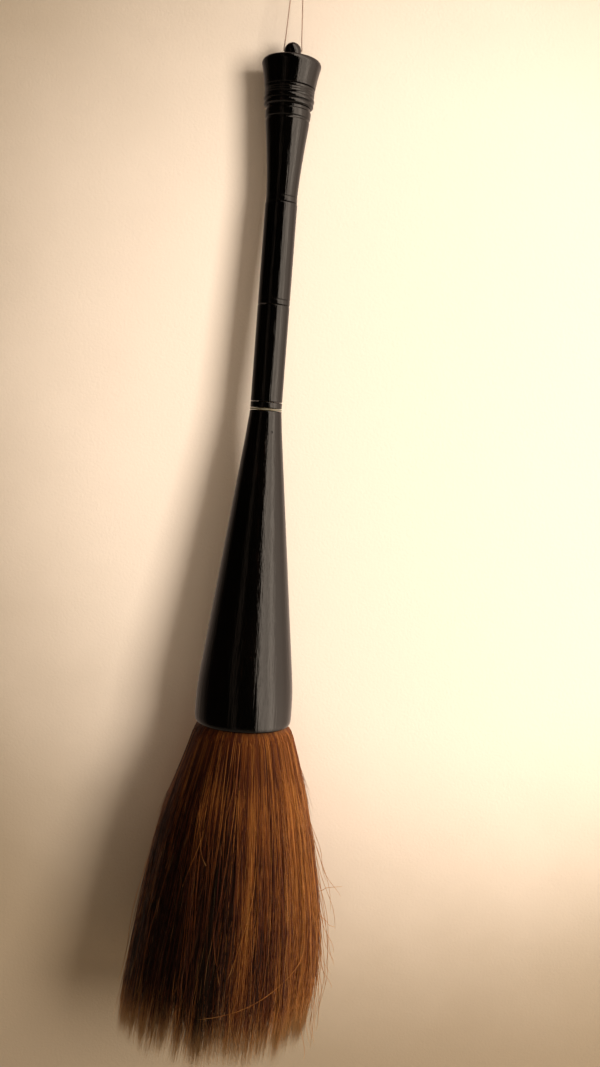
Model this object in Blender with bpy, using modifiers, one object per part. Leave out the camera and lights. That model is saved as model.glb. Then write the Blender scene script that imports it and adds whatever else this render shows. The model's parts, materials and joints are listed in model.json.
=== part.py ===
"""A large hanging calligraphy brush.

A turned horn handle in sections, a long horn ferrule, a bound tuft of reddish-brown hair,
and a thin cord loop on the knob at the top. Units are metres and +Z is up.
The origin is the underside of the cord loop's crown, where the brush hangs, so the whole
brush lies on the -Z axis below it. The loop swings about the knob's cross hole, along X,
and the free hair bends about a point inside the tuft, also along X.
"""

import math

import bpy

MM = 0.001

# --- Driving dimensions ---
SEGMENTS = 32                 # steps round each turned piece
GAP = 0.3 * MM                # between neighbouring pieces
MERGE = 0.00001               # merge distance of the Screw modifiers

# Cord and knob
LOOP_HEIGHT = 62.0 * MM       # cross hole to the underside of the crown
CORD_RADIUS = 0.35 * MM
CROWN_HALF_WIDTH = 1.0 * MM   # half of the level stretch that rests on the peg
CROWN_CORNER = 0.9 * MM
EXIT_CORNER = 0.5 * MM        # bend where the cord leaves the cross hole
WAIST_OF_LOOP = 4.9 * MM      # half the distance between the legs just above the ball
WAIST_OF_LOOP_HEIGHT = 4.2 * MM
KNOB_RADIUS = 5.0 * MM
CROSS_HOLE_RADIUS = 0.8 * MM
NECK_LENGTH = 5.4 * MM        # cross hole to the top of the cap
PEG_RADIUS = 2.7 * MM
PEG_LENGTH = 56.6 * MM        # cross hole to the peg's lower end

# Head
CAP_HEIGHT = 15.9 * MM
CAP_RADIUS = 17.4 * MM
CAP_SHOULDER = 2.8 * MM
CAP_FOOT_RADIUS = 14.95 * MM
CAP_TAPER_POWER = 1.25
BAND_HEIGHT = 11.0 * MM
BAND_RADIUS = 14.7 * MM
FIRST_FINE_GROOVE = 1.4 * MM  # depth of the first of the three fine grooves
FINE_GROOVE_PITCH = 1.3 * MM
FINE_GROOVE_DEPTH = 0.35 * MM
BEAD_RADIUS = 14.1 * MM       # at the foot of the upper of two beads
BEAD_STEP = 0.3 * MM          # the radius lost from one bead to the next
BEAD_TOP = 5.2 * MM
BEAD_HEIGHT = 2.6 * MM
BEAD_PITCH = 2.9 * MM
BEAD_BULGE = 0.3              # of the bead's height

# Handle sections
UPPER_HEIGHT = 54.4 * MM
RECESS_RADIUS = 13.0 * MM
RECESS_TAPER = 0.1 * MM
RECESS_FOOT = 1.5 * MM        # depths below the section's top
COLLAR_BAND_TOP = 2.1 * MM
COLLAR_BAND_FOOT = 5.8 * MM
HEAD_GROOVE_TOP = 6.3 * MM
HEAD_GROOVE_FOOT = 7.2 * MM
TAPER_TOP = 7.7 * MM
COLLAR_BAND_RADIUS = 13.4 * MM
COLLAR_BAND_TAPER = 0.2 * MM
UPPER_HEAD_RADIUS = 12.95 * MM
UPPER_WAIST_RADIUS = 9.2 * MM
UPPER_FLARE_POWER = 1.35
GRIP_RADIUS = 9.5 * MM
MIDDLE_HEIGHT = 59.4 * MM
LOWER_HEIGHT = 57.0 * MM
END_BAND_HEIGHT = 3.0 * MM    # thin band turned at the foot of a section
SCORE_DEPTH = 0.35 * MM       # depth of a scored line
SCORE_WIDTH = 0.6 * MM
EDGE = 0.3 * MM               # small chamfer on the sections' ends
COLLAR_HEIGHT = 3.5 * MM
BONE_HEIGHT = 1.0 * MM
BONE_RADIUS = 9.65 * MM
DOWEL_RADIUS = 4.6 * MM
DOWEL_LENGTH = 36.0 * MM
FERRULE_DOWEL_DEPTH = 26.0 * MM

# Ferrule
FERRULE_LENGTH = 190.8 * MM
FERRULE_TOP_RADIUS = 9.55 * MM
FERRULE_RADIUS = 29.65 * MM   # widest, a little above the mouth
NECK_SLOPE = 0.085            # radius gained per length at the ferrule's top
CONE_SLOPE = 0.1195
NECK_END = 20.0 * MM          # depth where the cone becomes straight
CONE_END = 156.5 * MM         # depth where the barrel starts to round over
BARREL_END = 181.5 * MM
LIP_HEIGHT = 4.6 * MM         # the lower edge is an oval round of this height
LIP_INSET = 1.6 * MM
CUP_MOUTH_RADIUS = 26.4 * MM
CUP_TOP_RADIUS = 22.5 * MM
CUP_DEPTH = 56.0 * MM
CUP_END_HEIGHT = 7.0 * MM     # conical end above the cup

# Hair
RESIN_HEIGHT = 6.0 * MM
ROOT_NECK_RADIUS = 17.0 * MM
ROOT_NECK_HEIGHT = 9.5 * MM
BINDING_THREAD = 0.6 * MM     # radius of the thread
BINDING_TURNS = 5
BINDING_STEPS = 16            # points per turn
ROOT_END = 5.0 * MM           # the root stops this far inside the mouth
HAIR_LENGTH = 186.0 * MM      # mouth to the longest tips
HAIR_EDGE_LENGTH = 177.0 * MM
HAIR_MOUTH_RADIUS = 29.5 * MM
HAIR_SPREAD = 34.0 * MM
HAIR_SPREAD_LENGTH = 90.0 * MM
BEND_DEPTH = 57.0 * MM        # mouth to the point the free hair bends about
BEND_GAP = 0.6 * MM
BEND_RIM_ANGLE = 33.0         # degrees above the bend's level where the fixed part ends
BEND_SKIRT_ANGLE = -2.0
CORE_TOP_RADIUS = 20.0 * MM
CORE_FOOT_RADIUS = 27.0 * MM

# --- Levels, from the top down ---
HOLE_Z = -LOOP_HEIGHT
CAP_TOP = HOLE_Z - NECK_LENGTH
BAND_TOP = CAP_TOP - CAP_HEIGHT - GAP
UPPER_TOP = BAND_TOP - BAND_HEIGHT - GAP
MIDDLE_TOP = UPPER_TOP - UPPER_HEIGHT - GAP
LOWER_TOP = MIDDLE_TOP - MIDDLE_HEIGHT - GAP
COLLAR_TOP = LOWER_TOP - LOWER_HEIGHT - GAP
BONE_TOP = COLLAR_TOP - COLLAR_HEIGHT - GAP
FERRULE_TOP = BONE_TOP - BONE_HEIGHT - GAP
MOUTH = FERRULE_TOP - FERRULE_LENGTH
BEND_Z = MOUTH - BEND_DEPTH
CUP_TOP = MOUTH + CUP_DEPTH

# Colour, roughness, metallic
MATERIALS = {
    "horn": ((0.018, 0.014, 0.012), 0.12, 0.0),
    "bone": ((0.72, 0.66, 0.52), 0.35, 0.0),
    "cord": ((0.55, 0.36, 0.27), 0.70, 0.0),
    "bamboo": ((0.52, 0.36, 0.17), 0.60, 0.0),
    "resin": ((0.32, 0.17, 0.06), 0.30, 0.0),
    "thread": ((0.62, 0.54, 0.40), 0.80, 0.0),
    "hair": ((0.20, 0.075, 0.030), 0.45, 0.0),
}


def clear_scene():
    for item in list(bpy.data.objects):
        bpy.data.objects.remove(item, do_unlink=True)


def collection(name):
    made = bpy.data.collections.new(name)
    bpy.context.scene.collection.children.link(made)
    return made


def material(piece_name, kind):
    """A material of its own for each piece, with the finish of its kind."""
    colour, roughness, metallic = MATERIALS[kind]
    made = bpy.data.materials.new(f"{piece_name}_{kind}")
    made.use_nodes = True
    shader = made.node_tree.nodes["Principled BSDF"]
    shader.inputs["Base Color"].default_value = (*colour, 1.0)
    shader.inputs["Roughness"].default_value = roughness
    shader.inputs["Metallic"].default_value = metallic
    return made


def empty(name, height, holder):
    made = bpy.data.objects.new(name, None)
    made.location = (0.0, 0.0, height)
    made.empty_display_size = 0.01
    holder.objects.link(made)
    return made


def arc(centre, radius, start, end, steps):
    """Points (radius, height) on a circle; angles in degrees, 0 outwards and 90 up."""
    points = []
    for i in range(steps + 1):
        angle = math.radians(start + (end - start) * i / steps)
        points.append((centre[0] + radius * math.cos(angle), centre[1] + radius * math.sin(angle)))
    return points


def turned(name, kind, top, outline, parent, holder):
    """Turns an outline about Z. The outline's heights are measured from the level `top`."""
    mesh = bpy.data.meshes.new(name)
    points = [(radius, 0.0, height) for radius, height in outline]
    edges = [(i, i + 1) for i in range(len(points) - 1)]
    if outline[0][0] > 0.0:                       # a ring's outline is closed
        edges.append((len(points) - 1, 0))
    mesh.from_pydata(points, edges, [])
    made = bpy.data.objects.new(name, mesh)
    holder.objects.link(made)
    made.parent = parent
    made.location = (0.0, 0.0, top - parent.location.z)
    screw = made.modifiers.new("turn", "SCREW")
    screw.angle = math.tau
    screw.steps = SEGMENTS
    screw.render_steps = SEGMENTS
    screw.use_merge_vertices = True
    screw.merge_threshold = MERGE
    screw.use_smooth_shade = True
    made.data.materials.append(material(name, kind))
    return made


def score(radius, height):
    """A V-shaped line scored into a surface, centred at this height."""
    half = SCORE_WIDTH / 2
    return [(radius, height + half), (radius - SCORE_DEPTH, height), (radius, height - half)]


def mortise_in_top(radius, depth):
    """The inside of a blind hole in a piece's top, from the axis out to the hole's rim."""
    return [(0.0, -depth), (radius, -depth), (radius, 0.0)]


def mortise_in_foot(radius, depth, height):
    """The inside of a blind hole in a piece's foot, from its rim in to the axis."""
    return [(radius, -height), (radius, depth - height), (0.0, depth - height)]


# --- Cord and knob ---

def cord_outline():
    """The loop's right half, from the middle of the cross hole up to the crown, as (x, z)."""
    exit_x = KNOB_RADIUS - 0.05 * MM
    crown = LOOP_HEIGHT + CORD_RADIUS * math.cos(math.pi / 8)
    points = [(exit_x - 1.5 * MM, 0.0)]
    points += arc((exit_x, EXIT_CORNER), EXIT_CORNER, -90.0, 0.0, 3)
    points.append((WAIST_OF_LOOP, WAIST_OF_LOOP_HEIGHT))
    points += arc((CROWN_HALF_WIDTH, crown - CROWN_CORNER), CROWN_CORNER, 0.0, 90.0, 4)
    return points


def hanging_cord(parent, holder):
    half = cord_outline()
    loop = half + [(-x, z) for x, z in reversed(half)]
    curve = bpy.data.curves.new("hanging_cord", "CURVE")
    curve.dimensions = "3D"
    curve.bevel_depth = CORD_RADIUS
    curve.bevel_resolution = 2
    spline = curve.splines.new("POLY")
    spline.points.add(len(loop) - 1)
    for point, (x, z) in zip(spline.points, loop):
        point.co = (x, 0.0, z, 1.0)
        point.tilt = math.pi / 8                  # turns a flat of the cord to face straight down
    spline.use_cyclic_u = True
    made = bpy.data.objects.new("hanging_cord", curve)
    holder.objects.link(made)
    made.parent = parent
    curve.materials.append(material("hanging_cord", "cord"))
    return made


def cross_hole_cutter(holder):
    bpy.ops.mesh.primitive_cylinder_add(
        vertices=16,
        radius=CROSS_HOLE_RADIUS,
        depth=4 * KNOB_RADIUS,
        location=(0.0, 0.0, HOLE_Z),
        rotation=(0.0, math.pi / 2, 0.0),
    )
    made = bpy.context.object
    made.name = "cross_hole_cutter"
    for owner in list(made.users_collection):
        owner.objects.unlink(made)
    holder.objects.link(made)
    made.hide_render = True
    made.display_type = "WIRE"
    return made


def hanging_knob(parent, holder, cutters):
    neck_angle = -90.0 + math.degrees(math.asin(PEG_RADIUS / KNOB_RADIUS))
    outline = [(0.0, KNOB_RADIUS)]
    outline += arc((0.0, 0.0), KNOB_RADIUS, 90.0, neck_angle, 11)[1:]
    outline += [
        (PEG_RADIUS, -PEG_LENGTH + 2 * EDGE),
        (PEG_RADIUS - 2 * EDGE, -PEG_LENGTH),
        (0.0, -PEG_LENGTH),
    ]
    made = turned("hanging_knob", "horn", HOLE_Z, outline, parent, holder)
    hole = made.modifiers.new("cross_hole", "BOOLEAN")
    hole.operation = "DIFFERENCE"
    hole.object = cross_hole_cutter(cutters)
    return made


# --- Head ---

def end_cap(parent, holder):
    bore = PEG_RADIUS + GAP
    outline = [(bore, 0.0)]
    outline += arc((CAP_RADIUS - CAP_SHOULDER, -CAP_SHOULDER), CAP_SHOULDER, 90.0, 0.0, 5)
    face = CAP_HEIGHT - CAP_SHOULDER
    for share in (0.8, 0.6, 0.4, 0.2, 0.0):
        radius = CAP_FOOT_RADIUS + (CAP_RADIUS - CAP_FOOT_RADIUS) * share ** CAP_TAPER_POWER
        outline.append((radius, -CAP_HEIGHT + face * share + (EDGE if share == 0.0 else 0.0)))
    outline += [(CAP_FOOT_RADIUS - EDGE, -CAP_HEIGHT), (bore, -CAP_HEIGHT)]
    return turned("end_cap", "horn", CAP_TOP, outline, parent, holder)


def bead(foot_radius, top, height):
    """A half-round bead from `top` down over `height`, standing out of the foot radius."""
    bulge = BEAD_BULGE * height
    points = []
    for i in range(5):
        angle = math.pi * i / 4
        points.append((foot_radius + bulge * math.sin(angle), top - height * (1 - math.cos(angle)) / 2))
    return points


def band_ring(parent, holder):
    bore = PEG_RADIUS + GAP
    outline = [(bore, 0.0), (BAND_RADIUS - EDGE, 0.0), (BAND_RADIUS, -EDGE)]
    for i in range(3):
        depth = FIRST_FINE_GROOVE + i * FINE_GROOVE_PITCH
        outline.append((BAND_RADIUS, -depth))
        outline.append((BAND_RADIUS - FINE_GROOVE_DEPTH, -depth - SCORE_WIDTH / 2))
    for i in range(2):
        outline += bead(BEAD_RADIUS - i * BEAD_STEP, -BEAD_TOP - i * BEAD_PITCH, BEAD_HEIGHT)
    outline += [(BEAD_RADIUS - 2 * BEAD_STEP, -BAND_HEIGHT), (bore, -BAND_HEIGHT)]
    return turned("band_ring", "horn", BAND_TOP, outline, parent, holder)


# --- Handle sections ---

def upper_section(parent, holder):
    """The flared tube: a recess, a plain band, a scored groove and the long taper to the waist."""
    peg_depth = PEG_LENGTH - NECK_LENGTH - CAP_HEIGHT - BAND_HEIGHT - 2 * GAP + GAP
    outline = mortise_in_top(PEG_RADIUS + GAP, peg_depth)
    groove_radius = UPPER_HEAD_RADIUS - SCORE_DEPTH
    outline += [
        (RECESS_RADIUS, 0.0),
        (RECESS_RADIUS - RECESS_TAPER, -RECESS_FOOT),
        (COLLAR_BAND_RADIUS, -COLLAR_BAND_TOP),
        (COLLAR_BAND_RADIUS - COLLAR_BAND_TAPER, -COLLAR_BAND_FOOT),
        (groove_radius, -HEAD_GROOVE_TOP),
        (groove_radius, -HEAD_GROOVE_FOOT),
    ]
    taper = UPPER_HEIGHT - END_BAND_HEIGHT - 2 * SCORE_WIDTH - TAPER_TOP
    for i in range(8):
        share = 1 - i / 7
        radius = UPPER_WAIST_RADIUS + (UPPER_HEAD_RADIUS - UPPER_WAIST_RADIUS) * share ** UPPER_FLARE_POWER
        outline.append((radius, -TAPER_TOP - taper * (1 - share)))
    foot = UPPER_WAIST_RADIUS + 0.05 * MM
    outline += score(foot, END_BAND_HEIGHT - UPPER_HEIGHT + SCORE_WIDTH / 2)
    outline += [(foot, EDGE - UPPER_HEIGHT), (foot - EDGE, -UPPER_HEIGHT)]
    outline += mortise_in_foot(DOWEL_RADIUS + GAP, DOWEL_LENGTH / 2 + GAP, UPPER_HEIGHT)
    return turned("upper_section", "horn", UPPER_TOP, outline, parent, holder)


def grip_section(name, top, height, banded, parent, holder):
    """A straight section with a mortise in each end, and a thin band scored at its foot if banded."""
    outline = mortise_in_top(DOWEL_RADIUS + GAP, DOWEL_LENGTH / 2 + GAP)
    outline += [(GRIP_RADIUS - EDGE, 0.0), (GRIP_RADIUS, -EDGE)]
    if banded:
        outline += score(GRIP_RADIUS, END_BAND_HEIGHT - height)
    outline += [(GRIP_RADIUS, EDGE - height), (GRIP_RADIUS - EDGE, -height)]
    outline += mortise_in_foot(DOWEL_RADIUS + GAP, DOWEL_LENGTH / 2 + GAP, height)
    return turned(name, "horn", top, outline, parent, holder)


def plain_ring(name, kind, top, height, radius, parent, holder):
    bore = DOWEL_RADIUS + GAP
    edge = min(EDGE, height / 4)
    outline = [
        (bore, 0.0),
        (radius - edge, 0.0),
        (radius, -edge),
        (radius, edge - height),
        (radius - edge, -height),
        (bore, -height),
    ]
    return turned(name, kind, top, outline, parent, holder)


def dowel(name, top, length, parent, holder):
    outline = [
        (0.0, 0.0),
        (DOWEL_RADIUS - 2 * EDGE, 0.0),
        (DOWEL_RADIUS, -2 * EDGE),
        (DOWEL_RADIUS, 2 * EDGE - length),
        (DOWEL_RADIUS - 2 * EDGE, -length),
        (0.0, -length),
    ]
    return turned(name, "bamboo", top, outline, parent, holder)


# --- Ferrule ---

def ferrule_outside():
    """The long cone's outside, from its top to its mouth, as (radius, height below the top)."""
    points = [(FERRULE_TOP_RADIUS - EDGE, 0.0), (FERRULE_TOP_RADIUS, -EDGE)]
    curvature = (CONE_SLOPE - NECK_SLOPE) / (2 * NECK_END)
    for i in range(1, 5):
        depth = NECK_END * i / 4
        points.append((FERRULE_TOP_RADIUS + NECK_SLOPE * depth + curvature * depth**2, -depth))
    cone_end_radius = points[-1][0] + CONE_SLOPE * (CONE_END - NECK_END)
    for i in range(6):
        share = i / 5
        rounding = 1 - (1 - share) ** 2
        radius = cone_end_radius + (FERRULE_RADIUS - cone_end_radius) * rounding
        points.append((radius, -CONE_END - (BARREL_END - CONE_END) * share))
    for i in range(6):
        angle = math.pi / 2 * i / 5
        radius = FERRULE_RADIUS - LIP_INSET * (1 - math.cos(angle))
        points.append((radius, -FERRULE_LENGTH + LIP_HEIGHT * (1 - math.sin(angle))))
    return points


def ferrule(parent, holder):
    outline = mortise_in_top(DOWEL_RADIUS + GAP, FERRULE_DOWEL_DEPTH + GAP)
    outline += ferrule_outside()
    outline += [
        (CUP_MOUTH_RADIUS + EDGE, -FERRULE_LENGTH),
        (CUP_MOUTH_RADIUS, EDGE - FERRULE_LENGTH),
        (CUP_TOP_RADIUS, CUP_DEPTH - FERRULE_LENGTH),
        (0.0, CUP_DEPTH + CUP_END_HEIGHT - FERRULE_LENGTH),
    ]
    return turned("ferrule", "horn", FERRULE_TOP, outline, parent, holder)


def cup_radius(height):
    """The cup's inner radius at a height above the mouth."""
    return CUP_MOUTH_RADIUS + (CUP_TOP_RADIUS - CUP_MOUTH_RADIUS) * height / CUP_DEPTH


# --- Hair ---

def hair_radius(depth):
    """The tuft's outer radius at a depth below the mouth."""
    return HAIR_MOUTH_RADIUS + HAIR_SPREAD * (1 - math.exp(-depth / HAIR_SPREAD_LENGTH))


def root_resin(parent, holder):
    """Fills the cup's conical end, down to a flat face on the hair root."""
    outline = [
        (0.0, CUP_END_HEIGHT - GAP),
        (CUP_TOP_RADIUS - 1.5 * GAP, 0.0),
        (cup_radius(CUP_DEPTH - RESIN_HEIGHT) - GAP, -RESIN_HEIGHT),
        (0.0, -RESIN_HEIGHT),
    ]
    return turned("root_resin", "resin", CUP_TOP, outline, parent, holder)


def hair_root(parent, holder):
    """The bound bundle in the cup: a neck for the binding thread, then the full width."""
    top = RESIN_HEIGHT + GAP
    neck = top + ROOT_NECK_HEIGHT
    foot = CUP_DEPTH - ROOT_END
    outline = [
        (0.0, -top),
        (ROOT_NECK_RADIUS, -top),
        (ROOT_NECK_RADIUS, -neck),
        (cup_radius(CUP_DEPTH - neck - 4 * MM) - GAP, -neck - 4 * MM),
        (cup_radius(ROOT_END) - GAP, -foot),
        (0.0, -foot),
    ]
    return turned("hair_root", "hair", CUP_TOP, outline, parent, holder)


def root_binding(parent, holder):
    """Thread wound round the root's neck as one open coil."""
    coil_radius = (ROOT_NECK_RADIUS + GAP + BINDING_THREAD) / math.cos(math.pi / BINDING_STEPS)
    pitch = 2.5 * BINDING_THREAD
    first = CUP_TOP - RESIN_HEIGHT - GAP - 1.2 * MM
    count = BINDING_TURNS * BINDING_STEPS + 1
    curve = bpy.data.curves.new("root_binding", "CURVE")
    curve.dimensions = "3D"
    curve.bevel_depth = BINDING_THREAD
    curve.bevel_resolution = 1
    curve.use_fill_caps = True
    spline = curve.splines.new("POLY")
    spline.points.add(count - 1)
    for i, point in enumerate(spline.points):
        turn = i / BINDING_STEPS
        angle = math.tau * turn
        x = coil_radius * math.cos(angle)
        y = coil_radius * math.sin(angle)
        point.co = (x, y, first - pitch * turn, 1.0)
    made = bpy.data.objects.new("root_binding", curve)
    holder.objects.link(made)
    made.parent = parent
    curve.materials.append(material("root_binding", "thread"))
    return made


def hair_base(parent, holder):
    """The stiff hair just below the mouth. Its underside is a bowl round the point of the bend."""
    bowl = hair_radius(BEND_DEPTH) + BEND_GAP
    centre = (0.0, -BEND_DEPTH)
    rim = arc(centre, bowl, BEND_RIM_ANGLE, 90.0, 6)
    rim_depth = -rim[0][1]
    neck = CUP_MOUTH_RADIUS - 2 * GAP
    outline = [(0.0, ROOT_END - GAP), (cup_radius(ROOT_END) - 2 * GAP, ROOT_END - GAP), (neck, 0.0)]
    outline += [(neck, -0.4 * MM), (HAIR_MOUTH_RADIUS - MM, -1.6 * MM)]
    for share in (0.12, 0.35, 0.65):
        depth = rim_depth * share
        pinch = 1.2 * MM * (1 - share)            # the hair is held in a little near the mouth
        outline.append((hair_radius(depth) - pinch, -depth))
    outline += rim[:-1]
    outline.append((0.0, bowl - BEND_DEPTH))
    return turned("hair_base", "hair", MOUTH, outline, parent, holder)


def core_radius(depth):
    """The inner column's radius at a depth below the bend's level, widening to the foot."""
    ball = hair_radius(BEND_DEPTH)
    top = -math.sqrt(ball**2 - CORE_TOP_RADIUS**2)
    foot = HAIR_LENGTH - BEND_DEPTH
    return CORE_TOP_RADIUS + (CORE_FOOT_RADIUS - CORE_TOP_RADIUS) * (depth - top) / (foot - top)


def hair_core(parent, holder):
    """The inner column of free hair, with a ball-shaped top and a crowned foot."""
    ball = hair_radius(BEND_DEPTH)
    edge_angle = math.degrees(math.acos(CORE_TOP_RADIUS / ball))
    foot = HAIR_LENGTH - BEND_DEPTH
    crown = 3.0 * MM
    outline = [(0.0, ball)] + arc((0.0, 0.0), ball, 90.0, edge_angle, 3)[1:]
    outline += [(core_radius(foot - crown), crown - foot), (0.0, -foot)]
    return turned("hair_core", "hair", BEND_Z, outline, parent, holder)


def hair_coat(parent, holder):
    """The outer coat of free hair: a thick ring round the core with the tuft's true outline."""
    ball = hair_radius(BEND_DEPTH)
    inner_top = CORE_TOP_RADIUS + GAP
    top_angle = math.degrees(math.acos(inner_top / ball))
    outline = arc((0.0, 0.0), ball, top_angle, BEND_SKIRT_ANGLE, 8)
    edge = HAIR_EDGE_LENGTH - BEND_DEPTH
    for i in range(1, 7):
        depth = edge * i / 6
        outline.append((hair_radius(BEND_DEPTH + depth), -depth))
    foot = edge + 6.0 * MM
    outline += [(hair_radius(HAIR_EDGE_LENGTH) - 12 * MM, -edge - 4 * MM)]
    outline.append((core_radius(foot) + GAP, -foot))
    return turned("hair_coat", "hair", BEND_Z, outline, parent, holder)


def build():
    clear_scene()
    pieces = collection("calligraphy_brush")
    cutters = collection("cutters")

    brush = empty("brush", 0.0, pieces)
    cord_loop = empty("cord_loop", HOLE_Z, pieces)
    tuft = empty("tuft", BEND_Z, pieces)

    hanging_cord(cord_loop, pieces)
    hanging_knob(brush, pieces, cutters)
    end_cap(brush, pieces)
    band_ring(brush, pieces)
    upper_section(brush, pieces)
    grip_section("middle_section", MIDDLE_TOP, MIDDLE_HEIGHT, True, brush, pieces)
    grip_section("lower_section", LOWER_TOP, LOWER_HEIGHT, False, brush, pieces)
    plain_ring("joint_collar", "horn", COLLAR_TOP, COLLAR_HEIGHT, GRIP_RADIUS, brush, pieces)
    plain_ring("bone_ring", "bone", BONE_TOP, BONE_HEIGHT, BONE_RADIUS, brush, pieces)
    dowel("upper_dowel", MIDDLE_TOP + DOWEL_LENGTH / 2, DOWEL_LENGTH, brush, pieces)
    dowel("middle_dowel", LOWER_TOP + DOWEL_LENGTH / 2, DOWEL_LENGTH, brush, pieces)
    ferrule_dowel_top = COLLAR_TOP + DOWEL_LENGTH / 2
    ferrule_dowel_length = ferrule_dowel_top - FERRULE_TOP + FERRULE_DOWEL_DEPTH
    dowel("ferrule_dowel", ferrule_dowel_top, ferrule_dowel_length, brush, pieces)
    ferrule(brush, pieces)
    root_resin(brush, pieces)
    root_binding(brush, pieces)
    hair_root(brush, pieces)
    hair_base(brush, pieces)
    hair_core(tuft, pieces)
    hair_coat(tuft, pieces)


build()
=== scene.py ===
"""The look of a large hanging calligraphy brush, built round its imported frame.

Polished black horn, a pale bone ring, a thin two-ply cord and a tuft of about 17,000 hairs.
Lengths are metres and +Z is up. The brush hangs on the -Z axis with its front towards -Y.
"""

import json
import math

import bmesh
import bpy
import numpy as np
from mathutils import Matrix, Vector, noise


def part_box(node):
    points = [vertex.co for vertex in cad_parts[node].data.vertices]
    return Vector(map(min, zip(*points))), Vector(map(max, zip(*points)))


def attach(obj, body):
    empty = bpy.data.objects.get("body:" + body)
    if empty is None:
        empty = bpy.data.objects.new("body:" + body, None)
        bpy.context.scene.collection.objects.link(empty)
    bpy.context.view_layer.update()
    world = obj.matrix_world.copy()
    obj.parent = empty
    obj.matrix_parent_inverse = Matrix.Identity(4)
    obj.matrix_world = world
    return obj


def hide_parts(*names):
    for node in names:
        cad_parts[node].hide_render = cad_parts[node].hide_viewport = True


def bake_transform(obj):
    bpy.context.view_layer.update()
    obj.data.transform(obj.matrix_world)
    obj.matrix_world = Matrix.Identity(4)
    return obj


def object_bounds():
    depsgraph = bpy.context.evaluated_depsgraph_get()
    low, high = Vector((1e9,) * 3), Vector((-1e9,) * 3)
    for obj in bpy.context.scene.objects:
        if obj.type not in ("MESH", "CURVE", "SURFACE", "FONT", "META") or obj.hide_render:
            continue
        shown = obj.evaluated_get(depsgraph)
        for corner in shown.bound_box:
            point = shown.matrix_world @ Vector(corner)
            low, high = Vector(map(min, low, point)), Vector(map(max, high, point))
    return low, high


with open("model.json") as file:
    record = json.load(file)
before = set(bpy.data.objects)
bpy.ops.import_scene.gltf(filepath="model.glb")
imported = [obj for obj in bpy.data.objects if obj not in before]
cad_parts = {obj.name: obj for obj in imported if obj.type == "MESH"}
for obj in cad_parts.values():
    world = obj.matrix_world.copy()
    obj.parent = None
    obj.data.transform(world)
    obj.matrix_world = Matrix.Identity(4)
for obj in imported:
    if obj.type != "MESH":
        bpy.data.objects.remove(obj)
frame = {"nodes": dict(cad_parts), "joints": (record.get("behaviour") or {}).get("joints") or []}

MM = 0.001
cad_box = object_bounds()

# --- Places taken from the frame ---
HOLE_Z = frame["joints"][0]["pos_m"][2]  # the knob's cross hole
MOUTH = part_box("ferrule")[0].z  # the ferrule's lower edge

# --- Turned pieces ---
PLAIN_HORN = (
    "end_cap", "band_ring", "upper_section", "middle_section", "lower_section", "joint_collar",
)
LATHE_STEPS = 144
TOUCH = 0.002 * MM  # points closer than this to a plane or axis lie on it
SHARP_TURN = math.radians(35)  # corners sharper than this get only a small round
EDGE_ROUND = 0.16 * MM
TURN_STEP = math.radians(8)
RING_STEP = 2.5 * MM
WORKED_DEPTH = 0.035 * MM  # unevenness left by scraping and polishing by hand
WORKED_WIDTH = 9 * MM
WORKED_LENGTH = 60 * MM
CROSS_HOLE_RADIUS = 0.8 * MM
CROSS_HOLE_LENGTH = 20 * MM
PIT_ANGLE = math.radians(27)  # a small flaw near the ferrule's top, right of the front
PIT_Z = -284.2 * MM
PIT_OUT = 10.65 * MM
PIT_RADIUS = 0.65 * MM
PIT_DEPTH = 0.6 * MM

# --- Cord ---
CORD_RADIUS = 0.35 * MM
PLY_RADIUS = 0.19 * MM
PLY_PITCH = 2.4 * MM
PLY_SIDES = 8
CORD_STEP = 0.25 * MM
CROWN_HALF_WIDTH = 1.9 * MM
LOOP_WAIST = 4.9 * MM
LOOP_WAIST_HEIGHT = 4.2 * MM
CORD_CORNER = 0.9 * MM
KNOT_DROP = 7 * MM  # the knot's distance below the crown
KNOT_TURNS = 3.0
KNOT_RADIUS = 0.62 * MM
KNOT_PITCH = 2.1  # from turn to turn, in cord radii
KNOT_STEPS = 60
TAIL_LENGTH = 5 * MM
TAIL_DRIFT = 1.6 * MM
TAIL_STEPS = 7
FUZZ_COUNT = 160
FUZZ_LENGTHS = (0.5, 1.6)  # in millimetres
FUZZ_RADIUS = 0.012 * MM

# --- Tuft ---
HAIR_MOUTH_RADIUS = 29.5 * MM
HAIR_SPREAD = 34 * MM
HAIR_SPREAD_LENGTH = 90 * MM
HAIR_NECK_RADIUS = 25.7 * MM  # where the hair leaves the ferrule
HAIR_NECK_LENGTH = 4.5 * MM
ROOT_INSIDE = 4 * MM  # the modelled hairs start this far up inside the mouth
MEAN_LENGTH = 191.5 * MM
LEAN = 4.4 * MM  # the tips lean to the left by this
RIGHT_BULGE = 3.2 * MM
RIGHT_BULGE_DEPTH = 125 * MM
RIGHT_BULGE_LENGTH = 45 * MM
RIGHT_TUCK = 3 * MM
RIGHT_TUCK_START = 158 * MM
RIGHT_TUCK_LENGTH = 25 * MM
LEFT_NARROWING = 2.4 * MM
LEFT_NARROW_DEPTH = 18 * MM
LEFT_NARROW_LENGTH = 28 * MM
BROAD_LOCKS = 23
FINE_LOCKS = 210
COAT_HAIRS = 12500
INNER_HAIRS = 4500
INNER_SHORTFALL = 8 * MM
SECTORS = 16
HAIR_POINTS = 18
ROOT_CROWDING = 1.9  # above 1 puts a hair's points closer together at its root
HAIR_RADIUS = 0.12 * MM
TIP_TAPER = 0.6  # the share of its width that a hair loses at its tip
SHORTFALL = 7 * MM  # coat hairs end short of their lock by this on average
LARGEST_SHORTFALL = 60 * MM
TIP_UNEVENNESS = 2.6 * MM
LARGEST_EXTRA = 4 * MM
LOCK_OVERLAP = 1.4  # a lock's half-width, in steps from lock to lock
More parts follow.
